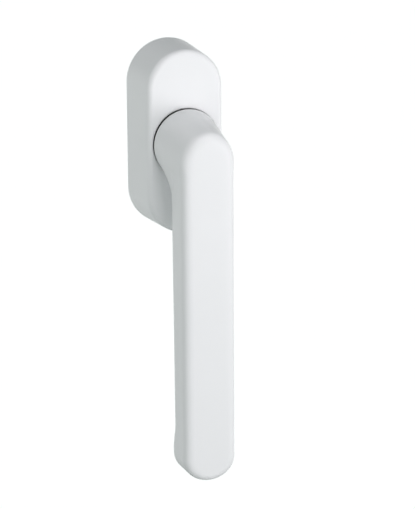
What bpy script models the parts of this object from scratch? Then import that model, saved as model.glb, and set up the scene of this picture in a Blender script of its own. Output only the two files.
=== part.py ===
"""Window handle: a lever grip on an oblong rosette, with its square spindle.

World frame: +Z up, the sash face is the plane Y = 0, +Y goes into the sash.
Every shape is drawn in a local frame of (x, up, depth), where depth is the
distance in front of the sash face, and is then turned a quarter about X.
All sizes are in millimetres and become metres through MM.
"""
import bpy
import bmesh
import numpy as np
from math import pi, sin, cos, atan2, radians

MM = 0.001

# rosette cover: a stadium-shaped cap with a little draft
COVER_R, COVER_HALF, COVER_LOW, COVER_DEPTH = 16.5, 21.0, 0.2, 22.0
COVER_DRAFT, COVER_EDGE, COVER_WALL = 1.1, 2.2, 1.8
NECK_HOLE_R = 13.4

# base plate behind the cover
PLATE_R, PLATE_THICK = 14.0, 6.0
RIM_R, RIM_INNER, RIM_TOP = 13.2, 12.2, 8.6
RECESS_R, RECESS_DEPTH, BORE_R = 11.5, 4.0, 8.7
SCREW_Z = 21.5

# neck and grip
NECK_BOTTOM, NECK_R, NECK_Z = 23.2, 13.6, -0.2
GRIP_FRONT, GRIP_HALF = 47.4, 10.7
GRIP_TOP_Z, GRIP_TOP_RISE = -4.3, 13.0
GRIP_LENGTH, GRIP_END = 131.8, 9.5
GRIP_THICK_TOP, GRIP_THICK_LOW = 14.8, 13.4
HEEL, HEEL_Z, HEEL_RUN = 2.1, -110.2, 10.0
EDGE_FRONT, EDGE_BACK, CROTCH = 3.0, 2.4, 13.6
SHELL_BORE_R, SHELL_BORE_TOP = 11.2, 29.2

# steel core bar inside the grip
CORE_R, CORE_DEPTH, CORE_BEND, CORE_TIP = 4.0, 40.3, 10.0, -122.0

# hub, spindle and detent
JOURNAL_R, HUB_R, HUB_SHOULDER, HUB_TOP = 6.4, 10.9, 22.9, 28.8
SPINDLE, SPINDLE_REACH, SPINDLE_TOP = 7.0, 35.0, 27.0
PIN_DEPTH, PIN_R = 24.9, 1.0
POCKET_TOP = 19.5
BALL_R, BALL_TRACK, BALL_DEPTH, BALL_GAP = 1.25, 8.75, 9.65, 0.3
BALL_SNAP = 0.8
DISC_FRONT = 8.3
GAP = 0.3

for ob in list(bpy.data.objects):
    bpy.data.objects.remove(ob, do_unlink=True)

parts = bpy.data.collections.new("window_handle")
cutters = bpy.data.collections.new("cutters")
for coll in (parts, cutters):
    bpy.context.scene.collection.children.link(coll)


def material(name, colour, rough, metal):
    mat = bpy.data.materials.new(name)
    mat.use_nodes = True
    shader = mat.node_tree.nodes["Principled BSDF"]
    shader.inputs["Base Color"].default_value = (*colour, 1.0)
    shader.inputs["Roughness"].default_value = rough
    shader.inputs["Metallic"].default_value = metal
    mat.diffuse_color = (*colour, 1.0)
    return mat


WHITE = (0.86, 0.86, 0.85)
ZINC = (0.56, 0.57, 0.58)
STEEL = (0.62, 0.62, 0.63)
BLACK = (0.05, 0.05, 0.055)


def place(name, mesh, look, at=(0.0, 0.0, 0.0), parent=None):
    """Link a mesh drawn in (x, up, depth); at is its origin in that frame."""
    ob = bpy.data.objects.new(name, mesh)
    ob.rotation_euler = (pi / 2, 0.0, 0.0)
    ob.location = (at[0] * MM, -at[2] * MM, at[1] * MM)
    if look is None:
        cutters.objects.link(ob)
        ob.hide_render = True
        ob.display_type = "WIRE"
        return ob
    parts.objects.link(ob)
    colour, rough, metal = look
    mesh.materials.append(material(name, colour, rough, metal))
    if parent is not None:
        ob.parent = parent
        ob.location = [a - b for a, b in zip(ob.location, parent.location)]
    return ob


def settle(ob, angle=35):
    """Apply the modifiers and shade smooth up to an angle."""
    bpy.context.view_layer.update()
    deps = bpy.context.evaluated_depsgraph_get()
    mesh = bpy.data.meshes.new_from_object(ob.evaluated_get(deps))
    ob.modifiers.clear()
    ob.data = mesh
    mesh.shade_smooth()
    mesh.set_sharp_from_angle(angle=radians(angle))
    return ob


def turned(name, profile, look, at=(0.0, 0.0, 0.0), steps=32, parent=None):
    """Turn a profile of (radius, depth) points about the depth axis.

    The points run down the outer side. A profile that starts and ends on the
    axis is solid; any other one closes on itself and leaves a hole.
    """
    solid = profile[0][0] == 0.0
    n = len(profile)
    edges = [(i, i + 1) for i in range(n - 1)] + ([] if solid else [(n - 1, 0)])
    mesh = bpy.data.meshes.new(name)
    mesh.from_pydata([(r * MM, 0.0, d * MM) for r, d in profile], edges, [])
    ob = place(name, mesh, look, at, parent)
    mod = ob.modifiers.new("turn", "SCREW")
    mod.steps = mod.render_steps = steps
    mod.use_merge_vertices = True
    mod.merge_threshold = 0.00001
    return settle(ob)


def ring(name, inner, outer, low, high, look, **more):
    return turned(name, [(outer, high), (outer, low), (inner, low), (inner, high)], look, **more)


def box(name, size, centre, look, bevel=0.0, parent=None):
    mesh = bpy.data.meshes.new(name)
    bm = bmesh.new()
    bmesh.ops.create_cube(bm, size=1.0)
    for v in bm.verts:
        v.co = [c * s * MM for c, s in zip(v.co, size)]
    bm.to_mesh(mesh)
    bm.free()
    ob = place(name, mesh, look, centre, parent)
    if bevel:
        mod = ob.modifiers.new("edges", "BEVEL")
        mod.width = bevel * MM
        mod.segments = 2
        settle(ob, 40)
    return ob


def rod(name, radius, low, high, look, centre=(0.0, 0.0), segments=20, parent=None):
    """A straight cylinder along the depth axis."""
    mesh = bpy.data.meshes.new(name)
    bm = bmesh.new()
    bmesh.ops.create_cone(bm, cap_ends=True, segments=segments, radius1=radius * MM,
                          radius2=radius * MM, depth=(high - low) * MM)
    bm.to_mesh(mesh)
    bm.free()
    mesh.shade_smooth()
    mesh.set_sharp_from_angle(angle=radians(35))
    return place(name, mesh, look, (centre[0], centre[1], (low + high) / 2), parent)


def ball(name, radius, centre, look, segments=16, rings=8, parent=None):
    mesh = bpy.data.meshes.new(name)
    bm = bmesh.new()
    bmesh.ops.create_uvsphere(bm, u_segments=segments, v_segments=rings, radius=radius * MM)
    bm.to_mesh(mesh)
    bm.free()
    mesh.shade_smooth()
    return place(name, mesh, look, centre, parent)


def boolean(ob, other, operation="DIFFERENCE"):
    mod = ob.modifiers.new(other.name, "BOOLEAN")
    mod.operation = operation
    mod.solver = "EXACT"
    mod.object = other


def stadium(radius, half, count=20):
    """Outline of two half circles joined by straight sides, counter-clockwise."""
    arc = [pi * i / count for i in range(count + 1)]
    top = [(radius * cos(a), half + radius * sin(a)) for a in arc]
    return top + [(-x, -y) for x, y in top]


def stadium_block(name, radius, half, low, high, draft, look, capped=True):
    """A stadium outline pulled up from low to high, drawn in by draft at the top."""
    mesh = bpy.data.meshes.new(name)
    bm = bmesh.new()
    floor = [bm.verts.new((x * MM, y * MM, low * MM)) for x, y in stadium(radius, half)]
    face = bm.faces.new(floor)
    raised = bmesh.ops.extrude_face_region(bm, geom=[face])["geom"]
    for v in (g for g in raised if isinstance(g, bmesh.types.BMVert)):
        side = half if v.co.y > 0 else -half
        x, y = v.co.x / MM, v.co.y / MM - side
        k = (radius - draft) / radius
        v.co = (x * k * MM, (side + y * k) * MM, high * MM)
    if not capped:
        under = [f for f in bm.faces if all(abs(v.co.z - low * MM) < 1e-7 for v in f.verts)]
        bmesh.ops.delete(bm, geom=under, context="FACES_ONLY")
    bmesh.ops.recalc_face_normals(bm, faces=bm.faces)
    bm.to_mesh(mesh)
    bm.free()
    return place(name, mesh, look)


# Neck and grip: a cone and a flat bar, each a signed distance, joined by a fillet.
def rounded(a, b, r):
    """The corner of two distances, rounded with radius r."""
    u, v = a + r, b + r
    return np.hypot(np.maximum(u, 0), np.maximum(v, 0)) + np.minimum(np.maximum(u, v), 0) - r


def neck_distance(x, z, d):
    t = np.clip((d - NECK_BOTTOM) / (GRIP_FRONT - NECK_BOTTOM), 0, 1)
    wide = NECK_R + (GRIP_HALF - NECK_R) * t
    tall = NECK_R + (GRIP_TOP_RISE - NECK_R) * t
    middle = NECK_Z + (GRIP_TOP_Z - NECK_Z) * t
    round_ = (np.hypot(x / wide, (z - middle) / tall) - 1) * np.minimum(wide, tall)
    return rounded(round_, d - GRIP_FRONT, EDGE_FRONT)


def bar_distance(x, z, d):
    low = GRIP_END - GRIP_LENGTH
    reach = (np.maximum(z - GRIP_TOP_Z, 0) / GRIP_TOP_RISE + np.maximum(low - z, 0) / GRIP_END)
    outline = np.hypot(x, reach * GRIP_HALF) - GRIP_HALF
    thick = np.interp(-z, [22.0, 112.0], [GRIP_THICK_TOP, GRIP_THICK_LOW])
    heel = np.clip((HEEL_Z - z) / HEEL_RUN, 0, 1)
    thick = thick + HEEL * heel * heel * (3 - 2 * heel)
    middle = GRIP_FRONT - thick / 2
    edge = np.where(d > middle, EDGE_FRONT, EDGE_BACK)
    return rounded(outline, np.abs(d - middle) - thick / 2, edge)


def slope(distance, p, h=0.05):
    g = []
    for axis in range(3):
        step = np.zeros(3)
        step[axis] = h
        g.append(distance(*(p.T + step[:, None])) - distance(*(p.T - step[:, None])))
    g = np.stack(g)
    return g / np.maximum(np.linalg.norm(g, axis=0), 1e-9)


def handle_distance(p):
    a, b = neck_distance(*p.T), bar_distance(*p.T)
    turn = (slope(neck_distance, p) * slope(bar_distance, p)).sum(axis=0)
    r = CROTCH * np.clip(1 - turn, 0, 1) * np.clip((GRIP_FRONT - 6 - p[:, 2]) / 5, 0, 1)
    both = np.hypot(np.maximum(r - a, 0), np.maximum(r - b, 0))
    return np.where((a < r) & (b < r), np.maximum(r, np.minimum(a, b)) - both, np.minimum(a, b))


def section(centre, across, count):
    """Outline of the handle in the plane through centre that holds X and across."""
    angle = 2 * pi * np.arange(count) / count
    angle = angle - 0.16 * np.sin(4 * angle)
    rays = np.outer(np.sin(angle), (1, 0, 0)) + np.outer(np.cos(angle), across)
    near, far = np.zeros(count), np.full(count, 40.0)
    for _ in range(30):
        mid = (near + far) / 2
        outside = handle_distance(np.array(centre) + rays * mid[:, None]) > 0
        far, near = np.where(outside, mid, far), np.where(outside, near, mid)
    return np.array(centre) + rays * far[:, None]


def handle_sections(count, bend, bar, end):
    """Sections fanned round the bend and down the bar, as (x, up, depth)."""
    pivot_z = -NECK_R - CROTCH - 1.0
    pivot_d = NECK_BOTTOM
    middle = GRIP_FRONT - GRIP_THICK_LOW / 2
    low = GRIP_END - GRIP_LENGTH
    loops = []
    for t in np.linspace(0, 1, bend):
        out = np.array((0, cos(t * pi / 2), sin(t * pi / 2)))
        reach = np.interp(t, [0, 0.5, 1], [-pivot_z, 22.5, middle - pivot_d])
        loops.append(section(np.array((0, pivot_z, pivot_d)) + out * reach, out, count))
    for z in np.linspace(pivot_z, HEEL_Z, bar)[1:]:
        loops.append(section((0, z, middle), (0, 0, 1), count))
    for z in np.linspace(HEEL_Z, low, 5)[1:]:
        loops.append(section((0, z, middle), (0, 0, 1), count))
    for t in np.linspace(0, pi / 2 - 0.06, end + 1)[1:]:
        loops.append(section((0, low - GRIP_END * sin(t), middle), (0, 0, 1), count))
    return loops


def loft(name, loops, look):
    """Skin a row of equal-count outlines and close both ends."""
    mesh = bpy.data.meshes.new(name)
    bm = bmesh.new()
    rows = [[bm.verts.new([c * MM for c in p]) for p in loop] for loop in loops]
    for a, b in zip(rows, rows[1:]):
        for i in range(len(a)):
            j = (i + 1) % len(a)
            bm.faces.new((a[i], a[j], b[j], b[i]))
    bm.faces.new(rows[0])
    bm.faces.new(rows[-1])
    bmesh.ops.recalc_face_normals(bm, faces=bm.faces)
    bm.to_mesh(mesh)
    bm.free()
    mesh.shade_smooth()
    mesh.set_sharp_from_angle(angle=radians(50))
    return place(name, mesh, look)


def bar_tube(name, radius, start, tip, look):
    """Round bar that runs out of the neck, bends once and goes down the grip."""
    data = bpy.data.curves.new(name, "CURVE")
    data.dimensions = "3D"
    data.bevel_depth = radius * MM
    data.bevel_resolution = 2
    data.use_fill_caps = True
    arc = [pi / 2 * i / 6 for i in range(7)]
    centre = (CORE_DEPTH - CORE_BEND, -CORE_BEND)
    path = [(0.0, start)]
    path += [(centre[1] + CORE_BEND * cos(a), centre[0] + CORE_BEND * sin(a)) for a in arc]
    path += [(tip, CORE_DEPTH)]
    spline = data.splines.new("POLY")
    spline.points.add(len(path) - 1)
    for point, (up, depth) in zip(spline.points, path):
        point.co = (0.0, up * MM, depth * MM, 1.0)
    curve = bpy.data.objects.new(name + "_path", data)
    bpy.context.scene.collection.objects.link(curve)
    bpy.context.view_layer.update()
    deps = bpy.context.evaluated_depsgraph_get()
    mesh = bpy.data.meshes.new_from_object(curve.evaluated_get(deps))
    bpy.data.objects.remove(curve, do_unlink=True)
    bm = bmesh.new()
    bm.from_mesh(mesh)
    bmesh.ops.remove_doubles(bm, verts=bm.verts, dist=0.000001)
    bmesh.ops.recalc_face_normals(bm, faces=bm.faces)
    bm.to_mesh(mesh)
    bm.free()
    mesh.shade_smooth()
    mesh.set_sharp_from_angle(angle=radians(35))
    return place(name, mesh, look)


def coil(name, centre, low, high, look, radius=1.0, wire=0.18, turns=5, parent=None):
    data = bpy.data.curves.new(name, "CURVE")
    data.dimensions = "3D"
    data.bevel_depth = wire * MM
    data.bevel_resolution = 1
    data.use_fill_caps = True
    count = turns * 8
    spline = data.splines.new("POLY")
    spline.points.add(count)
    for i, point in enumerate(spline.points):
        a = 2 * pi * turns * i / count
        depth = low + wire + (high - low - 2 * wire) * i / count
        point.co = (radius * cos(a) * MM, radius * sin(a) * MM, depth * MM, 1.0)
    return place(name, data, look, (centre[0], centre[1], 0.0), parent)


satin = (WHITE, 0.42, 0.0)
zinc = (ZINC, 0.45, 0.8)
steel = (STEEL, 0.35, 1.0)
black = (BLACK, 0.5, 0.0)

# --- fixed to the sash -------------------------------------------------------
base_plate = stadium_block("base_plate", PLATE_R, COVER_HALF, 0.0, PLATE_THICK, 0.1, zinc)
rim = ring("cut_rim", RIM_INNER, RIM_R, PLATE_THICK - 1.0, RIM_TOP, None, steps=40)
boolean(base_plate, rim, "UNION")
bore = turned("cut_bore", [(0.0, 9.0), (BORE_R, 9.0), (BORE_R, RECESS_DEPTH),
                           (RECESS_R, RECESS_DEPTH), (RECESS_R, -1.0), (0.0, -1.0)], None,
              steps=40)
boolean(base_plate, bore)
screw_hole = [(0.0, 7.0), (6.1, 7.0), (2.8, 3.7), (2.8, 2.2), (4.2, 2.2), (4.2, 1.0),
              (5.3, 1.0), (5.3, -1.0), (0.0, -1.0)]
for tag, z in (("upper", SCREW_Z), ("lower", -SCREW_Z)):
    boolean(base_plate, turned("cut_hole_" + tag, screw_hole, None, (0.0, z, 0.0), 24))
    turned("cam_sleeve_" + tag, [(3.9, 1.9), (3.9, 0.7), (5.0, 0.7), (5.0, -2.6), (4.6, -3.0),
                                 (2.75, -3.0), (2.75, 1.9)], black, (0.0, z, 0.0), 24)
    screw = turned("fixing_screw_" + tag,
                   [(0.0, 5.9), (4.5, 5.9), (4.5, 5.75), (2.45, 3.7), (2.45, -28.0),
                    (1.9, -29.1), (0.0, -29.1)], steel, (0.0, z, 0.0), 20)
    for k, size in enumerate(((1.1, 5.2, 4.4), (5.2, 1.1, 4.4))):
        slot = box("cut_slot_%s_%d" % (tag, k), size, (0.0, z, 5.9), None)
        boolean(screw, slot)

turned("guide_bush", [(8.4, 6.0), (8.4, 3.7), (10.4, 3.7), (10.4, 3.2), (6.7, 3.2), (6.7, 6.0)],
       black)
disc = ring("detent_disc", 7.1, 11.9, PLATE_THICK + GAP, DISC_FRONT, steel, steps=40)

# --- slides forward off the plate --------------------------------------------
cover = stadium_block("rosette_cover", COVER_R, COVER_HALF, COVER_LOW, COVER_DEPTH,
                      COVER_DRAFT, satin, capped=False)
edge = cover.modifiers.new("front edge", "BEVEL")
edge.width = COVER_EDGE * MM
edge.segments = 4
edge.limit_method = "ANGLE"
edge.angle_limit = radians(40)
wall = cover.modifiers.new("wall", "SOLIDIFY")
wall.thickness = COVER_WALL * MM
wall.offset = -1.0
wall.use_even_offset = True
boolean(cover, rod("cut_neck_hole", NECK_HOLE_R, 15.0, 30.0, None, segments=48))
settle(cover)

# --- turns with the grip -----------------------------------------------------
axle = bpy.data.objects.new("handle_axis", None)
parts.objects.link(axle)

shell = loft("grip_shell", handle_sections(48, 20, 7, 8), satin)
shell.parent = axle
boolean(shell, rod("cut_neck_bore", SHELL_BORE_R, 15.0, SHELL_BORE_TOP, None, segments=40))
boolean(shell, bar_tube("cut_core", CORE_R + GAP, SHELL_BORE_TOP - 1.0, CORE_TIP - GAP, None))
core = bar_tube("grip_core", CORE_R, SHELL_BORE_TOP + 0.2, CORE_TIP, steel)
core.parent = axle

hub = turned("spindle_hub", [(0.0, HUB_TOP), (HUB_R, HUB_TOP), (HUB_R, HUB_SHOULDER),
                             (JOURNAL_R, HUB_SHOULDER), (JOURNAL_R, 1.6), (5.8, 1.6),
                             (5.8, 0.65), (JOURNAL_R, 0.65), (JOURNAL_R, 0.1), (0.0, 0.1)],
             zinc, steps=36, parent=axle)
socket = SPINDLE + 2 * GAP
boolean(hub, box("cut_socket", (socket, socket, 32.0), (0.0, 0.0, SPINDLE_TOP + GAP - 16.0), None))
cross = rod("cut_cross_pin", PIN_R + GAP, -15.0, 15.0, None, segments=16)
cross.rotation_euler = (0.0, pi / 2, 0.0)
cross.location = (0.0, -PIN_DEPTH * MM, 0.0)
boolean(hub, cross)
spindle = box("square_spindle", (SPINDLE, SPINDLE, SPINDLE_REACH + SPINDLE_TOP),
              (0.0, 0.0, (SPINDLE_TOP - SPINDLE_REACH) / 2), steel, bevel=0.4, parent=axle)
boolean(spindle, cross)
pin = rod("spindle_pin", PIN_R, -10.4, 10.4, steel, segments=12, parent=axle)
pin.rotation_euler = (0.0, pi / 2, 0.0)
pin.location = (0.0, -PIN_DEPTH * MM, 0.0)

carrier = ring("detent_carrier", JOURNAL_R + GAP, HUB_R, DISC_FRONT + GAP, HUB_SHOULDER - GAP,
               black, steps=40, parent=axle)
ring("thrust_washer", 6.8, 10.6, 2.4, 2.9, steel, parent=axle)
wave = ring("wave_washer", 6.8, 10.2, 1.82, 2.05, steel, steps=30, parent=axle)
for v in wave.data.vertices:
    v.co.z += 0.1 * MM * sin(3 * atan2(v.co.y, v.co.x))
clip = ring("retaining_circlip", 6.1, 9.2, 0.8, 1.45, steel, parent=axle)
boolean(clip, box("cut_clip_gap", (3.0, 6.0, 3.0), (0.0, -8.0, 1.1), None))

# Four balls, drawn pressed back, snap into four dimples a quarter turn apart.
for k in range(4):
    a = pi / 4 + k * pi / 2
    x, up = BALL_TRACK * cos(a), BALL_TRACK * sin(a)
    boolean(disc, ball("cut_dimple_%d" % (k + 1), BALL_R + BALL_GAP,
                       (x, up, BALL_DEPTH - BALL_SNAP), None))
    boolean(carrier, rod("cut_pocket_%d" % (k + 1), BALL_R + 0.25, 7.0, POCKET_TOP, None,
                         (x, up)))
    ball("detent_ball_%d" % (k + 1), BALL_R, (x, up, BALL_DEPTH), steel, 14, 7, parent=axle)
    coil("detent_spring_%d" % (k + 1), (x, up), BALL_DEPTH + BALL_R + 0.3, POCKET_TOP - 0.3,
         steel, parent=axle)
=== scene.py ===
from math import sin, cos, pi, radians, hypot, atan2
import bpy
import bmesh
import numpy as np
from mathutils import Vector, Matrix, Quaternion


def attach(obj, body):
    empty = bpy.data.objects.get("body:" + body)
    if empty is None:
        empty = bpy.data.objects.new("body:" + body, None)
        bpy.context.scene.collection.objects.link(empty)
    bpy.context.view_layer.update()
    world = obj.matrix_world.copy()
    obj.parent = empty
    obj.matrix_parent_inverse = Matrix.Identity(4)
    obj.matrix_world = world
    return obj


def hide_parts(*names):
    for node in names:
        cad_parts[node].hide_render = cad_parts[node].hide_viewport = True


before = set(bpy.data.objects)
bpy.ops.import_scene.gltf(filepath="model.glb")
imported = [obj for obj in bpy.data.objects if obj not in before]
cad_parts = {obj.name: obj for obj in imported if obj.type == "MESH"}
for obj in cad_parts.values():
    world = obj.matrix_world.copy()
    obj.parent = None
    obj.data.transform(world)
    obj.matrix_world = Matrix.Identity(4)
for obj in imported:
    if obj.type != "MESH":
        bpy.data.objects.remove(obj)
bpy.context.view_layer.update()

scene = bpy.context.scene
mm = 0.001               # pieces are drawn in millimetres in front of the sash

# ---- camera, floor and light

view = {
    "turn": 20.96, "tilt": 16.1, "roll": -0.36,
    "distance": 1.0, "lens": 178.37,
    "right": 0.01626, "down": 0.04923,
}


def addCamera():
    turn, tilt = radians(view["turn"]), radians(view["tilt"])
    look = Vector((sin(turn) * cos(tilt), cos(turn) * cos(tilt), -sin(tilt)))
    aim = look.to_track_quat("-Z", "Y") @ Quaternion((0, 0, 1), radians(view["roll"]))
    data = bpy.data.cameras.new("camera")
    data.lens = view["lens"]
    camera = bpy.data.objects.new("camera", data)
    camera.rotation_euler = aim.to_euler()
    camera.location = (aim @ Vector((view["right"], -view["down"], 0))
                       - look * view["distance"])
    scene.collection.objects.link(camera)
    scene.camera = camera


studio = {
    "floorHeight": -1.5, "floorSize": 14.0,
    "floorGlow": 0.835, "glowFrom": 2.2, "glowTo": 3.6, "glowColour": (0.995, 1.0, 1.0),
    "air": (0.168, 0.196, 0.188), "horizon": (1.0, 1.0, 1.0), "bandLow": 0.01, "bandHigh": 0.20,
    "boxColour": (0.990, 0.945, 0.985), "aim": (0.0, -0.02, -0.05),
    # place, size, power
    "highBox": ((0.10, -0.50, 0.40), 0.4, 1.70),
    "frontBox": ((0.46, -0.66, -0.14), 0.40, 1.52),
    "backBox": ((-0.30, 0.30, 0.70), 0.5, 0.92),
}


def softBox(name):
    place, size, power = studio[name]
    data = bpy.data.lights.new(name, "AREA")
    data.shape = "SQUARE"
    data.size, data.energy, data.color = size, power, studio["boxColour"]
    lamp = bpy.data.objects.new(name, data)
    lamp.location = place
    towards = Vector(studio["aim"]) - Vector(place)
    lamp.rotation_euler = towards.to_track_quat("-Z", "Y").to_euler()
    scene.collection.objects.link(lamp)


def addAir():
    # soft light from all round, white at the horizon
    world = bpy.data.worlds.new("studioAir")
    scene.world = world
    make = Finish("studioAir", world)
    height = make.add("SeparateXYZ", None, {0: make.add("TexCoord", out="Generated")}, "Z")
    band = make.add("MapRange", {"interpolation_type": "SMOOTHSTEP"},
                    {"Value": height, "From Min": studio["bandLow"],
                     "From Max": studio["bandHigh"]})
    colour = make.tint(band, studio["horizon"], studio["air"])
    make.end("OutputWorld", make.add("Background", None, {"Color": colour}))


def addStudio():
    for name in ("highBox", "frontBox", "backBox"):
        softBox(name)
    addAir()
    scene.view_settings.view_transform = "Standard"
    bm = bmesh.new()
    bmesh.ops.create_grid(bm, x_segments=1, y_segments=1, size=studio["floorSize"])
    bmesh.ops.translate(bm, verts=bm.verts, vec=(0, 0, studio["floorHeight"]))
    mesh = bpy.data.meshes.new("floor")
    bm.to_mesh(mesh)
    bm.free()
    floor = bpy.data.objects.new("floor", mesh)
    scene.collection.objects.link(floor)
    mesh.materials.append(paleFloor())
    print("stage ready")


# ---- shader helpers: a wrapped socket does its own maths

class Wire:
    def __init__(self, finish, socket):
        self.finish, self.socket = finish, socket

    def maths(self, operation, first, second):
        return self.finish.add("Math", {"operation": operation}, {0: first, 1: second})

    def __add__(self, other):
        return self.maths("ADD", self, other)

    def __sub__(self, other):
        return self.maths("SUBTRACT", self, other)

    def __rsub__(self, other):
        return self.maths("SUBTRACT", other, self)

    def __mul__(self, other):
        return self.maths("MULTIPLY", self, other)

    def __pow__(self, other):
        return self.maths("POWER", self, other)

    __radd__, __rmul__ = __add__, __mul__


class Finish:
    def __init__(self, name, owner=None):
        self.material = owner or bpy.data.materials.new(name)
        self.material.use_nodes = True
        self.tree = self.material.node_tree
        self.tree.nodes.clear()

    def add(self, kind, settings=None, sockets=None, out=0):
        node = self.tree.nodes.new("ShaderNode" + kind)
        for key, value in (settings or {}).items():
            setattr(node, key, value)
        for key, value in (sockets or {}).items():
            if isinstance(value, Wire):
                self.tree.links.new(value.socket, node.inputs[key])
            else:
                node.inputs[key].default_value = value
        return Wire(self, node.outputs[out]) if node.outputs else None

    def place(self):
        return self.add("TexCoord", out="Object")

    def noise(self, scale, detail=2.0, vector=None, rough=0.5):
        return self.add("TexNoise", None, {"Vector": vector or self.place(), "Scale": scale,
                                           "Detail": detail, "Roughness": rough})

    def tint(self, amount, dark, light):
        return self.add("Mix", {"data_type": "RGBA"},
                        {"Factor": amount, 6: (*dark, 1), 7: (*light, 1)}, 2)

    def bump(self, height, strength, depth):
        return self.add("Bump", None, {"Height": height, "Strength": strength,
                                       "Distance": depth})

    def surface(self, **sockets):
        shader = self.add("BsdfPrincipled", None,
                          {key.replace("_", " "): value for key, value in sockets.items()})
        return self.end("OutputMaterial", shader)

    def end(self, kind, shader):
        self.add(kind, None, {"Surface": shader})
        return self.material


def paleFloor():
    # the floor glows from a little way out, so the piece is not lit hard from below
    make = Finish("paleFloor")
    shade = make.tint(make.noise(3.0), (0.93, 0.93, 0.93), (0.96, 0.96, 0.96))
    away = make.add("VectorMath", {"operation": "LENGTH"}, {0: make.place()}, "Value")
    ring = make.add("MapRange", {"interpolation_type": "SMOOTHSTEP"},
                    {"Value": away, "From Min": studio["glowFrom"],
                     "From Max": studio["glowTo"]})
    return make.surface(Base_Color=shade, Roughness=0.9,
                        Emission_Color=make.tint(ring, (0, 0, 0), studio["glowColour"]),
                        Emission_Strength=studio["floorGlow"])


# satin white moulding: fine spark-eroded grain, slow waviness, faint handling marks
satin = {"dark": (0.835, 0.848, 0.852), "light": (0.872, 0.882, 0.888),
         "grain": 2600.0, "grainDepth": 0.000012, "wave": 60.0, "rough": 0.36}


def satinWhite(name):
    make = Finish(name)
    drift = make.noise(38.0, 3.0)
    grain = make.noise(satin["grain"], 3.0, rough=0.6)
    rub = make.noise(170.0, 5.0, rough=0.65)
    mark = (rub ** 3.0) * 0.9
    shade = make.tint(drift * 0.75 + grain * 0.25, satin["dark"], satin["light"])
    height = grain + make.noise(satin["wave"], 1.0) * 2.0
    return make.surface(Base_Color=shade, Roughness=mark * 0.35 + satin["rough"] - 0.02,
                        Specular_IOR_Level=0.42,
                        Normal=make.bump(height, 0.35, satin["grainDepth"]))


black = {"dark": (0.018, 0.018, 0.02), "light": (0.06, 0.06, 0.062),
         "grain": 2200.0, "grainDepth": 0.00002, "dust": 260.0, "rough": 0.42}


def blackMoulding(name):
    make = Finish(name)
    grain = make.noise(black["grain"], 3.0)
    dust = make.noise(black["dust"], 4.0, rough=0.7)
    shade = make.tint(dust ** 2.0, black["dark"], black["light"])
    return make.surface(Base_Color=shade, Roughness=dust * 0.2 + black["rough"],
                        Normal=make.bump(grain, 0.3, black["grainDepth"]))


zinc = {"dark": (0.40, 0.41, 0.42), "light": (0.66, 0.67, 0.68),
        "flow": 110.0, "skin": 900.0, "skinDepth": 0.00005, "rough": 0.36}


def castZinc(name):
    # cloudy flow marks under a fine sandy casting skin
    make = Finish(name)
    flow = make.noise(zinc["flow"], 5.0, rough=0.62)
    skin = make.noise(zinc["skin"], 4.0, rough=0.7)
    shade = make.tint(flow * 0.6 + skin * 0.4, zinc["dark"], zinc["light"])
    return make.surface(Base_Color=shade, Metallic=0.85, Roughness=flow * 0.25 + zinc["rough"],
                        Normal=make.bump(skin + flow, 0.35, zinc["skinDepth"]))


turned = {"dark": 0.50, "light": 0.72, "rings": 5200.0, "ringDepth": 0.00001,
          "cloud": 240.0, "rough": 0.22}


def warmGrey(value, warm):
    return value + warm, value + warm * 0.6, value


def turnedSteel(name, warm=0.0, centre=(0.0, 0.0)):
    # fine lathe rings round the depth axis under a thin plating
    make = Finish(name)
    offset = (-centre[0], 0, -centre[1])
    centred = make.add("Mapping", None, {"Vector": make.place(), "Location": offset})
    flat = make.add("VectorMath", {"operation": "MULTIPLY"}, {0: centred, 1: (1, 0, 1)})
    radius = make.add("VectorMath", {"operation": "LENGTH"}, {0: flat}, "Value")
    rings = make.add("TexNoise", {"noise_dimensions": "1D"},
                     {"W": radius * turned["rings"], "Scale": 1.0, "Detail": 2.0})
    cloud = make.noise(turned["cloud"], 4.0, rough=0.6)
    shade = make.tint(cloud * 0.7 + rings * 0.3,
                      warmGrey(turned["dark"], warm), warmGrey(turned["light"], warm))
    return make.surface(Base_Color=shade, Metallic=1.0, Roughness=cloud * 0.18 + turned["rough"],
                        Normal=make.bump(rings, 0.25, turned["ringDepth"]))


drawn = {"dark": (0.47, 0.475, 0.485), "light": (0.72, 0.72, 0.73),
         "across": 5200, "along": 60, "lineDepth": 0.00001, "cloud": 160.0, "rough": 0.2}


def drawnSteel(name):
    # bright drawn bar: long faint lines along the spindle
    make = Finish(name)
    stretch = (drawn["across"], drawn["along"], drawn["across"])
    along = make.add("Mapping", None, {"Vector": make.place(), "Scale": stretch})
    lines = make.add("TexNoise", None, {"Vector": along, "Scale": 1.0, "Detail": 3.0})
    cloud = make.noise(drawn["cloud"], 4.0, rough=0.6)
    shade = make.tint(lines * 0.6 + cloud * 0.4, drawn["dark"], drawn["light"])
    return make.surface(Base_Color=shade, Metallic=1.0, Roughness=cloud * 0.2 + drawn["rough"],
                        Normal=make.bump(lines, 0.3, drawn["lineDepth"]))


# ---- mesh helpers, in (x, up, depth) millimetres

weld = 0.001 * mm         # doubles nearer than this are merged
sliver = 0.002 * mm       # faces thinner than this are dissolved after a cut
onPlane = 0.01 * mm       # how near a vertex is to count as on a cut
onRing = 0.02 * mm        # how near it is to count as on the ring of a hole


def spot(x, up, depth):
    return Vector((x * mm, -depth * mm, up * mm))


def asPiece(name, bm, smooth=32):
    mesh = bpy.data.meshes.new(name)
    bm.to_mesh(mesh)
    bm.free()
    mesh.shade_smooth()
    mesh.set_sharp_from_angle(angle=radians(smooth))
    piece = bpy.data.objects.new(name, mesh)
    scene.collection.objects.link(piece)
    return piece


def fit(piece, body, slot, material, *nodes):
    piece.data.materials.clear()
    piece.data.materials.append(material)
    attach(piece, body)
    if nodes:
        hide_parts(*nodes)


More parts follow.
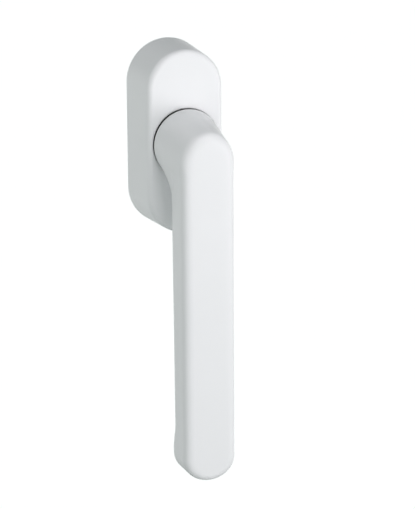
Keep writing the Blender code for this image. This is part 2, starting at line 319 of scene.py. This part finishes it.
def applied(piece, smooth=32):
    # the evaluated mesh takes the place of the modifiers
    bpy.context.view_layer.update()
    depsgraph = bpy.context.evaluated_depsgraph_get()
    mesh = bpy.data.meshes.new_from_object(piece.evaluated_get(depsgraph))
    bm = bmesh.new()
    bm.from_mesh(mesh)
    bmesh.ops.dissolve_degenerate(bm, dist=sliver, edges=bm.edges)
    bm.to_mesh(mesh)
    bm.free()
    piece.modifiers.clear()
    piece.data = mesh
    mesh.shade_smooth()
    mesh.set_sharp_from_angle(angle=radians(smooth))


def carve(piece, *tools, way="DIFFERENCE", smooth=32):
    for tool in tools:
        cut = piece.modifiers.new(tool.name, "BOOLEAN")
        cut.operation, cut.solver, cut.object = way, "EXACT", tool
    applied(piece, smooth)
    for tool in tools:
        bpy.data.objects.remove(tool, do_unlink=True)


def spun(name, profile, at=(0.0, 0.0), steps=96, angle=2 * pi):
    # a profile of (radius, depth) turned about the depth axis; off the axis it closes itself
    bm = bmesh.new()
    line = [bm.verts.new(spot(at[0] + r, at[1], d)) for r, d in profile]
    edges = [bm.edges.new(pair) for pair in zip(line, line[1:])]
    if profile[0][0] > 0:
        edges.append(bm.edges.new((line[-1], line[0])))
    start = line + edges
    if angle < 2 * pi:
        start = start + [bm.faces.new(line)]
    bmesh.ops.spin(bm, geom=start, cent=spot(at[0], at[1], 0), axis=(0, 1, 0), dvec=(0, 0, 0),
                   angle=angle, steps=steps, use_merge=angle >= 2 * pi, use_duplicate=False)
    bmesh.ops.remove_doubles(bm, verts=bm.verts, dist=weld)
    bmesh.ops.recalc_face_normals(bm, faces=bm.faces)
    return asPiece(name, bm)


def slab(name, size, centre, bevel=0.0, segments=3):
    bm = bmesh.new()
    bmesh.ops.create_cube(bm, size=1.0)
    bmesh.ops.scale(bm, verts=bm.verts, vec=(size[0] * mm, size[2] * mm, size[1] * mm))
    bmesh.ops.translate(bm, verts=bm.verts, vec=spot(*centre))
    if bevel:
        bmesh.ops.bevel(bm, geom=bm.edges[:], offset=bevel * mm, offset_type="OFFSET",
                        affect="EDGES", segments=segments, profile=0.5, material=-1)
    return asPiece(name, bm)


def stadiumLoop(bm, radius, half, depth, steps):
    # one vertex is spun over the top, drawn down, spun under the bottom and joined up
    first = bm.verts.new(spot(radius, half, depth))
    last = first
    for side in (half, -half):
        arc = bmesh.ops.spin(bm, geom=[last], cent=spot(0, side, depth), axis=(0, 1, 0),
                             dvec=(0, 0, 0), angle=-pi, steps=steps, use_merge=False,
                             use_duplicate=False)
        last = next(g for g in arc["geom_last"] if isinstance(g, bmesh.types.BMVert))
        if side > 0:
            last = bmesh.ops.extrude_vert_indiv(bm, verts=[last])["verts"][0]
            last.co = spot(-radius, -half, depth)
    bm.edges.new((last, first))
    return bm.edges[:]


def drawLoop(bm, edges):
    # pulls a copy of an edge loop and returns its own edges
    pulled = bmesh.ops.extrude_edge_only(bm, edges=edges)["geom"]
    verts = {g for g in pulled if isinstance(g, bmesh.types.BMVert)}
    return [g for g in pulled if isinstance(g, bmesh.types.BMEdge)
            and g.verts[0] in verts and g.verts[1] in verts], verts


def setStadium(verts, half, oldRadius, newRadius, depth):
    for v in verts:
        centre = half * mm if v.co.z > 0 else -half * mm
        k = newRadius / oldRadius
        v.co = (v.co.x * k, -depth * mm, centre + (v.co.z - centre) * k)


# ---- rosette cover

cover = {"radius": 16.5, "half": 21.0, "low": 0.2, "front": 22.0, "draft": 1.1,
         "edge": 2.2, "wall": 1.8, "holeRadius": 13.35, "holeEdge": 0.6, "arc": 48,
         "wallSteps": (0.5, 4.0, 9.0, 14.0), "lastStep": 0.6, "edgeSteps": 10,
         "faceBand": 0.5, "holeSteps": 8, "cutAbove": 2.0, "cutBelow": 6.0}


def buildCover():
    c = cover
    bm = bmesh.new()
    loop = stadiumLoop(bm, c["radius"], c["half"], c["low"], c["arc"])
    radius = c["radius"]
    foot = c["front"] - c["edge"]
    slope = c["draft"] / c["front"]
    depths = (*c["wallSteps"], foot - c["lastStep"], foot)
    steps = [(c["radius"] - slope * d, d) for d in depths]
    inner = c["radius"] - slope * foot - c["edge"]
    for i in range(1, c["edgeSteps"] + 1):
        a = pi / 2 * i / c["edgeSteps"]
        steps.append((inner + c["edge"] * cos(a), foot + c["edge"] * sin(a)))
    steps.append((inner - c["faceBand"], c["front"]))
    for newRadius, depth in steps:
        loop, verts = drawLoop(bm, loop)
        setStadium(verts, c["half"], radius, newRadius, depth)
        radius = newRadius
    bmesh.ops.contextual_create(bm, geom=loop)
    bmesh.ops.recalc_face_normals(bm, faces=bm.faces)
    piece = asPiece("coverCap", bm)
    wall = piece.modifiers.new("wall", "SOLIDIFY")
    wall.thickness, wall.offset, wall.use_even_offset = c["wall"] * mm, -1.0, True
    applied(piece)
    r, e, f = c["holeRadius"], c["holeEdge"], c["front"]
    above, below = f + c["cutAbove"], f - c["cutBelow"]
    tool = [(0.0, above), (r + e, above), (r + e, f)]
    tool += [(r + e - e * sin(a), f - e + e * cos(a))
             for a in np.linspace(0, pi / 2, c["holeSteps"] + 1)[1:]]
    tool += [(r, below), (0.0, below)]
    carve(piece, spun("holeTool", tool, steps=128))
    # the face stays flat right up to the rounded mouth of the hole
    bm = bmesh.new()
    bm.from_mesh(piece.data)
    for edge in bm.edges:
        flat = [face.normal.y < -0.99999 for face in edge.link_faces]
        if len(flat) == 2 and flat[0] != flat[1] and all(
                abs(hypot(v.co.x, v.co.z) - (r + e) * mm) < onRing for v in edge.verts):
            edge.smooth = False
    bm.to_mesh(piece.data)
    bm.free()
    fit(piece, "cover", "white_plastic", satinWhite("satinCover"), "rosette_cover")


# ---- neck and grip: a cone and a flat bar, blended by a fillet in the crook

grip = {"neckDepth": 23.2, "neckRadius": 13.6, "neckUp": -0.2,
        "front": 47.4, "half": 10.7, "topUp": -4.3, "topRise": 13.0,
        "length": 131.8, "end": 9.5, "thickTop": 14.8, "thickLow": 13.4,
        "heel": 2.1, "heelUp": -110.2, "heelRun": 10.0,
        "edgeFront": 3.0, "edgeBack": 2.4, "crook": 13.6,
        "taperFrom": 22.0, "taperTo": 112.0, "fadeFrom": 6.0, "fadeRun": 5.0, "elbow": 22.5,
        "bore": 11.2, "boreTop": 29.2, "around": 120, "fan": 84, "down": 26, "heelSteps": 16,
        "tip": 20, "tipShort": 0.03, "cornerPull": 0.16, "farthest": 40.0, "halvings": 34}


def roundedCorner(a, b, r):
    u, v = a + r, b + r
    return np.hypot(np.maximum(u, 0), np.maximum(v, 0)) + np.minimum(np.maximum(u, v), 0) - r


def neckDistance(x, up, d):
    g = grip
    t = np.clip((d - g["neckDepth"]) / (g["front"] - g["neckDepth"]), 0, 1)
    wide = g["neckRadius"] + (g["half"] - g["neckRadius"]) * t
    tall = g["neckRadius"] + (g["topRise"] - g["neckRadius"]) * t
    middle = g["neckUp"] + (g["topUp"] - g["neckUp"]) * t
    around = (np.hypot(x / wide, (up - middle) / tall) - 1) * np.minimum(wide, tall)
    return roundedCorner(around, d - g["front"], g["edgeFront"])


def barDistance(x, up, d):
    g = grip
    low = g["end"] - g["length"]
    reach = np.maximum(up - g["topUp"], 0) / g["topRise"] + np.maximum(low - up, 0) / g["end"]
    outline = np.hypot(x, reach * g["half"]) - g["half"]
    thick = np.interp(-up, [g["taperFrom"], g["taperTo"]], [g["thickTop"], g["thickLow"]])
    heel = np.clip((g["heelUp"] - up) / g["heelRun"], 0, 1)
    thick = thick + g["heel"] * heel * heel * (3 - 2 * heel)
    middle = g["front"] - thick / 2
    edge = np.where(d > middle, g["edgeFront"], g["edgeBack"])
    return roundedCorner(outline, np.abs(d - middle) - thick / 2, edge)


def lean(distance, p, h=0.05):
    parts = []
    for axis in range(3):
        step = np.zeros(3)
        step[axis] = h
        parts.append(distance(*(p.T + step[:, None])) - distance(*(p.T - step[:, None])))
    parts = np.stack(parts)
    return parts / np.maximum(np.linalg.norm(parts, axis=0), 1e-9)


def gripDistance(p):
    a, b = neckDistance(*p.T), barDistance(*p.T)
    facing = (lean(neckDistance, p) * lean(barDistance, p)).sum(axis=0)
    # the fillet fades out where the two meet square, and before the flat front
    fade = np.clip((grip["front"] - grip["fadeFrom"] - p[:, 2]) / grip["fadeRun"], 0, 1)
    r = grip["crook"] * np.clip(1 - facing, 0, 1) * fade
    both = np.hypot(np.maximum(r - a, 0), np.maximum(r - b, 0))
    return np.where((a < r) & (b < r), np.maximum(r, np.minimum(a, b)) - both, np.minimum(a, b))


def gripOutline(centre, across):
    count = grip["around"]
    angle = 2 * pi * np.arange(count) / count
    angle = angle - grip["cornerPull"] * np.sin(4 * angle)
    rays = np.outer(np.sin(angle), (1, 0, 0)) + np.outer(np.cos(angle), across)
    # each ray is halved down to where it leaves the shape
    near, far = np.zeros(count), np.full(count, grip["farthest"])
    for _ in range(grip["halvings"]):
        mid = (near + far) / 2
        outside = gripDistance(np.array(centre) + rays * mid[:, None]) > 0
        far, near = np.where(outside, mid, far), np.where(outside, near, mid)
    return np.array(centre) + rays * far[:, None]


def gripOutlines():
    g = grip
    pivotUp, pivotDepth = -g["neckRadius"] - g["crook"] - 1.0, g["neckDepth"]
    middle, low = g["front"] - g["thickLow"] / 2, g["end"] - g["length"]
    loops = []
    for t in np.linspace(0, 1, g["fan"]):
        out = np.array((0, cos(t * pi / 2), sin(t * pi / 2)))
        reach = np.interp(t, [0, 0.5, 1], [-pivotUp, g["elbow"], middle - pivotDepth])
        loops.append(gripOutline(np.array((0, pivotUp, pivotDepth)) + out * reach, out))
    levels = list(np.linspace(pivotUp, g["heelUp"], g["down"])[1:])
    levels += list(np.linspace(g["heelUp"], low, g["heelSteps"])[1:])
    levels += [low - g["end"] * sin(t)
               for t in np.linspace(0, pi / 2 - g["tipShort"], g["tip"])[1:]]
    loops += [gripOutline((0, up, middle), (0, 0, 1)) for up in levels]
    return loops


def buildGrip():
    g = grip
    outlines = gripOutlines()
    bm = bmesh.new()
    ring = bmesh.ops.create_circle(bm, segments=g["around"], radius=g["neckRadius"] * mm)["verts"]
    order = list(ring)
    edges = bm.edges[:]
    for v, p in zip(order, outlines[0]):
        v.co = spot(*p)
    rim = edges
    for outline in outlines[1:]:
        edges, fresh = drawLoop(bm, edges)
        order = [next(e.other_vert(v) for e in v.link_edges if e.other_vert(v) in fresh)
                 for v in order]
        for v, p in zip(order, outline):
            v.co = spot(*p)
    bmesh.ops.contextual_create(bm, geom=edges)
    # the rim turns in flat to the bore, which goes up over the hub
    loop = rim
    for radius, depth in ((g["bore"], g["neckDepth"]), (g["bore"], g["boreTop"])):
        loop, fresh = drawLoop(bm, loop)
        for v in fresh:
            k = radius * mm / hypot(v.co.x, v.co.z)
            v.co = (v.co.x * k, -depth * mm, v.co.z * k)
    bmesh.ops.contextual_create(bm, geom=loop)
    bmesh.ops.recalc_face_normals(bm, faces=bm.faces)
    piece = asPiece("gripMoulding", bm, 45)
    fit(piece, "handle", "white_plastic", satinWhite("satinGrip"), "grip_shell")


# ---- plate, bearing and fixings behind the cover

plate = {
    "radius": 14.0, "half": 21.0, "thick": 6.0, "screwUp": 21.5,
    "lowEdge": 0.4, "topEdge": 0.5, "topFall": 0.6,
    # profiles of (radius, depth)
    "rim": [(13.2, 8.3), (13.2, 5.0), (12.2, 5.0), (12.2, 8.6), (12.9, 8.6)],
    "bore": [(0.0, 9.0), (8.7, 9.0), (8.7, 4.0), (11.5, 4.0), (11.5, 0.3), (11.9, -0.1),
             (11.9, -1.0), (0.0, -1.0)],
    "hole": [(0.0, 7.0), (6.1, 7.0), (2.8, 3.7), (2.8, 2.2), (4.2, 2.2), (4.2, 1.0),
             (5.3, 1.0), (5.3, -1.0), (0.0, -1.0)],
    "pin": [(0.0, 0.15), (1.5, 0.15), (1.5, -1.0), (0.0, -1.0)], "pinX": 9.6, "pinUp": 16.5,
}


def buildPlate():
    p = plate
    bm = bmesh.new()
    radius = p["radius"] - p["lowEdge"]
    loop = stadiumLoop(bm, radius, p["half"], 0.0, 40)
    bmesh.ops.contextual_create(bm, geom=loop)
    for newRadius, depth in ((p["radius"], p["lowEdge"]),
                             (p["radius"], p["thick"] - p["topFall"]),
                             (p["radius"] - p["topEdge"], p["thick"])):
        loop, verts = drawLoop(bm, loop)
        setStadium(verts, p["half"], radius, newRadius, depth)
        radius = newRadius
    bmesh.ops.contextual_create(bm, geom=loop)
    bmesh.ops.recalc_face_normals(bm, faces=bm.faces)
    piece = asPiece("castPlate", bm)
    carve(piece, spun("rimTool", p["rim"]), way="UNION")
    tools = [spun("boreTool", p["bore"])]
    for side in (1, -1):
        tools.append(spun("holeTool%d" % side, p["hole"], (0.0, side * p["screwUp"]), 64))
        # shallow marks of the ejector pins
        for x in (-p["pinX"], p["pinX"]):
            tools.append(spun("pinTool%d%d" % (side, x), p["pin"], (x, side * p["pinUp"]), 32))
    carve(piece, *tools)
    fit(piece, "rosette", "zinc", castZinc("castPlateZinc"), "base_plate")


sleeve = {
    "profile": [(3.9, 1.9), (3.9, 0.7), (5.0, 0.7), (5.0, -2.5), (4.85, -2.85), (4.5, -3.0),
                (3.0, -3.0), (2.75, -2.75), (2.75, 1.9)],
    "notch": (0.9, 3.0, 2.4), "notchRadius": 4.9, "notchDepth": -2.6,
}


def buildSleeve(tag, up):
    piece = spun("camSleeve" + tag, sleeve["profile"], (0.0, up), 72)
    # three lead-in notches let the cam squeeze into its hole
    notches = []
    for k in range(3):
        a = pi / 2 + k * 2 * pi / 3
        r = sleeve["notchRadius"]
        bit = slab("notch%d" % k, sleeve["notch"], (0, 0, 0))
        place = Matrix.Translation(spot(r * cos(a), up + r * sin(a), sleeve["notchDepth"]))
        bit.data.transform(place @ Matrix.Rotation(pi / 2 - a, 4, "Y"))
        notches.append(bit)
    carve(piece, *notches)
    fit(piece, "rosette", "black_plastic", blackMoulding("camBlack" + tag),
        "cam_sleeve_" + tag.lower())


screw = {
    "pitch": 0.8, "core": 2.02, "crest": 2.45, "tip": -28.0, "top": 1.2, "steps": 28,
    "point": 1.1, "pointScale": 0.74, "weld": 0.004,
    "tooth": (("core", 0.0), ("core", 0.10), ("crest", 0.36), ("crest", 0.46), ("core", 0.72)),
    "slotLong": 5.2, "slotWide": 1.1, "slotDeep": 4.4, "slotEdge": 0.2,
    "head": [(0.0, 5.9), (4.3, 5.9), (4.5, 5.75), (2.45, 3.7), (2.45, 1.6), (2.1, 0.9),
             (0.0, 0.9)],
}


def buildScrew(tag, up):
    s = screw
    head = spun("fixingScrew" + tag, s["head"], (0.0, up), 64)
    wide, long, deep = s["slotWide"], s["slotLong"], s["slotDeep"]
    top = (0.0, up, s["head"][0][1])
    carve(head, *[slab("slot%d" % k, (a, b, deep), top, s["slotEdge"], 2)
                  for k, (a, b) in enumerate(((wide, long), (long, wide)))])
    # one turn of the saw-tooth line, moved along by a pitch, gives the thread
    bm = bmesh.new()
    bm.from_mesh(head.data)
    thread = bmesh.new()
    turns = int((s["top"] - s["tip"]) / s["pitch"]) + 3
    line = []
    for k in range(turns):
        low = s["tip"] - s["pitch"] + k * s["pitch"]
        line += [(s[part], low + step) for part, step in s["tooth"]]
    verts = [thread.verts.new(spot(r, up, d)) for r, d in line]
    edges = [thread.edges.new(pair) for pair in zip(verts, verts[1:])]
    bmesh.ops.spin(thread, geom=verts + edges, cent=spot(0, up, 0), axis=(0, 1, 0),
                   dvec=(0, -s["pitch"] * mm / s["steps"], 0), angle=2 * pi, steps=s["steps"],
                   use_merge=False, use_duplicate=False)
    bmesh.ops.remove_doubles(thread, verts=thread.verts, dist=s["weld"] * mm)
    for depth, way in ((s["tip"], 1), (s["top"], -1)):
        bmesh.ops.bisect_plane(thread, geom=thread.verts[:] + thread.edges[:] + thread.faces[:],
                               dist=0.0000001, plane_co=spot(0, up, depth),
                               plane_no=(0, way, 0), clear_outer=True, clear_inner=False)
        open_ = [e for e in thread.edges if e.is_boundary
                 and all(abs(v.co.y + depth * mm) < onPlane for v in e.verts)]
        cap = bmesh.ops.contextual_create(thread, geom=open_)["faces"]
        if way > 0:
            end = bmesh.ops.extrude_face_region(thread, geom=cap)["geom"]
            bmesh.ops.delete(thread, geom=cap, context="FACES_ONLY")
            point = [g for g in end if isinstance(g, bmesh.types.BMVert)]
            k = s["pointScale"]
            for v in point:
                v.co = (v.co.x * k, v.co.y + s["point"] * mm,
                        up * mm + (v.co.z - up * mm) * k)
    bmesh.ops.recalc_face_normals(thread, faces=thread.faces)
    spare = bpy.data.meshes.new("thread" + tag)
    thread.to_mesh(spare)
    thread.free()
    bm.from_mesh(spare)
    bm.to_mesh(head.data)
    bm.free()
    head.data.shade_smooth()
    head.data.set_sharp_from_angle(angle=radians(32))
    fit(head, "rosette", "steel", turnedSteel("platedScrew" + tag, 0.03, (0.0, up * mm)),
        "fixing_screw_" + tag.lower())


bearing = {
    "bush": [(8.4, 5.8), (8.4, 3.7), (10.4, 3.7), (10.4, 3.4), (10.2, 3.2), (6.9, 3.2),
             (6.7, 3.4), (6.7, 5.8), (6.9, 6.0), (8.2, 6.0)],
    "thrust": [(10.6, 2.85), (10.6, 2.45), (10.5, 2.4), (6.9, 2.4), (6.8, 2.45), (6.8, 2.9),
               (10.5, 2.9)],
    "wave": [(10.2, 2.05), (10.2, 1.82), (6.8, 1.82), (6.8, 2.05)],
    "waves": 3, "waveHeight": 0.1,
}


def buildBearing():
    b = bearing
    fit(spun("guideBush", b["bush"]), "rosette", "black_plastic", blackMoulding("bushBlack"),
        "guide_bush")
    fit(spun("thrustWasher", b["thrust"]), "handle", "steel", turnedSteel("thrustSteel"),
        "thrust_washer")
    wave = spun("waveWasher", b["wave"], steps=120)
    for v in wave.data.vertices:
        v.co.y -= b["waveHeight"] * mm * sin(b["waves"] * atan2(v.co.z, v.co.x))
    fit(wave, "handle", "steel", turnedSteel("waveSteel"), "wave_washer")


clip = {"inner": 6.1, "outer": 9.2, "low": 0.8, "high": 1.45, "gap": 22.0,
        "eyeAt": 9.0, "eyeOuter": 1.45, "eyeInner": 0.62, "eyeTurn": 1.05}


def buildClip():
    c = clip
    gap = radians(c["gap"])
    piece = spun("circlip", [(c["outer"], c["high"]), (c["outer"], c["low"]),
                             (c["inner"], c["low"]), (c["inner"], c["high"])],
                 angle=2 * pi - 2 * gap, steps=88)
    # open end to the bottom, with an eye on each end for the pliers
    piece.data.transform(Matrix.Rotation(-(pi / 2 - gap) + pi, 4, "Y"))
    eyes = []
    for side in (-1, 1):
        a = -pi / 2 + side * gap * c["eyeTurn"]
        at = (c["eyeAt"] * cos(a), c["eyeAt"] * sin(a))
        eyes.append(spun("eye%d" % side, [(c["eyeOuter"], c["high"]), (c["eyeOuter"], c["low"]),
                                          (c["eyeInner"], c["low"]), (c["eyeInner"], c["high"])],
                         at, 32))
    carve(piece, *eyes, way="UNION")
    fit(piece, "handle", "steel", turnedSteel("clipSteel", -0.12), "retaining_circlip")


hub = {
    "profile": [(0.0, 28.8), (10.6, 28.8), (10.9, 28.5), (10.9, 23.2), (10.6, 22.9),
                (6.4, 22.9), (6.4, 1.6), (5.8, 1.6), (5.8, 0.65), (6.4, 0.65), (6.4, 0.3),
                (6.2, 0.1), (0.0, 0.1)],
    "socket": (7.6, 7.6, 32.0), "socketDepth": 11.3,
    "pinRadius": 1.3, "pinLength": 30, "pinDepth": 24.9,
}


def crossTool(name):
    # the hole of the cross pin, through hub and spindle
    bm = bmesh.new()
    bmesh.ops.create_cone(bm, cap_ends=True, segments=32, radius1=hub["pinRadius"] * mm,
                          radius2=hub["pinRadius"] * mm, depth=hub["pinLength"] * mm)
    bmesh.ops.rotate(bm, verts=bm.verts, matrix=Matrix.Rotation(pi / 2, 3, "Y"))
    bmesh.ops.translate(bm, verts=bm.verts, vec=spot(0, 0, hub["pinDepth"]))
    return asPiece(name, bm)


def buildHub():
    piece = spun("spindleHub", hub["profile"])
    carve(piece, slab("socketTool", hub["socket"], (0, 0, hub["socketDepth"])),
          crossTool("crossToolHub"))
    fit(piece, "handle", "zinc", castZinc("hubZinc"), "spindle_hub")


bar = {"side": 7.0, "front": 27.0, "back": -35.0, "corner": 0.55, "chamfer": 0.5}


def buildSpindle():
    b = bar
    bm = bmesh.new()
    bmesh.ops.create_cube(bm, size=1.0)
    bmesh.ops.scale(bm, verts=bm.verts,
                    vec=(b["side"] * mm, (b["front"] - b["back"]) * mm, b["side"] * mm))
    bmesh.ops.translate(bm, verts=bm.verts, vec=spot(0, 0, (b["front"] + b["back"]) / 2))
    long = [e for e in bm.edges if abs(e.verts[0].co.y - e.verts[1].co.y) > mm]
    bmesh.ops.bevel(bm, geom=long, offset=b["corner"] * mm, offset_type="OFFSET",
                    affect="EDGES", segments=3, profile=0.5, material=-1)
    # each end is inset, then its outer rim is drawn back to leave a chamfer
    for face in [f for f in bm.faces if abs(f.normal.y) > 0.9]:
        way = b["chamfer"] * mm * (1 if face.normal.y > 0 else -1)
        ring = bmesh.ops.inset_region(bm, faces=[face], thickness=b["chamfer"] * mm,
                                      use_even_offset=True)["faces"]
        for v in {v for f in ring for v in f.verts} - set(face.verts):
            v.co.y -= way
    piece = asPiece("squareSpindle", bm, 25)
    carve(piece, crossTool("crossToolSpindle"), smooth=25)
    fit(piece, "handle", "steel", drawnSteel("drawnBar"), "square_spindle")


# ---- pieces that stay hidden keep their frame shape and get a finish

hidden = {
    "detent_disc": turnedSteel, "detent_carrier": blackMoulding, "grip_core": drawnSteel,
    "spindle_pin": drawnSteel,
}


def finishHidden():
    for k in range(1, 5):
        hidden["detent_ball_%d" % k] = turnedSteel
        hidden["detent_spring_%d" % k] = drawnSteel
    for name, look in hidden.items():
        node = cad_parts[name]
        node.data.materials.clear()
        node.data.materials.append(look("finish_" + name))


addCamera()
addStudio()
buildCover()
print("cover ready")
buildGrip()
print("grip ready")
buildPlate()
for tag, up in (("Upper", plate["screwUp"]), ("Lower", -plate["screwUp"])):
    buildSleeve(tag, up)
    buildScrew(tag, up)
buildBearing()
buildClip()
buildHub()
buildSpindle()
print("fixings ready")
finishHidden()
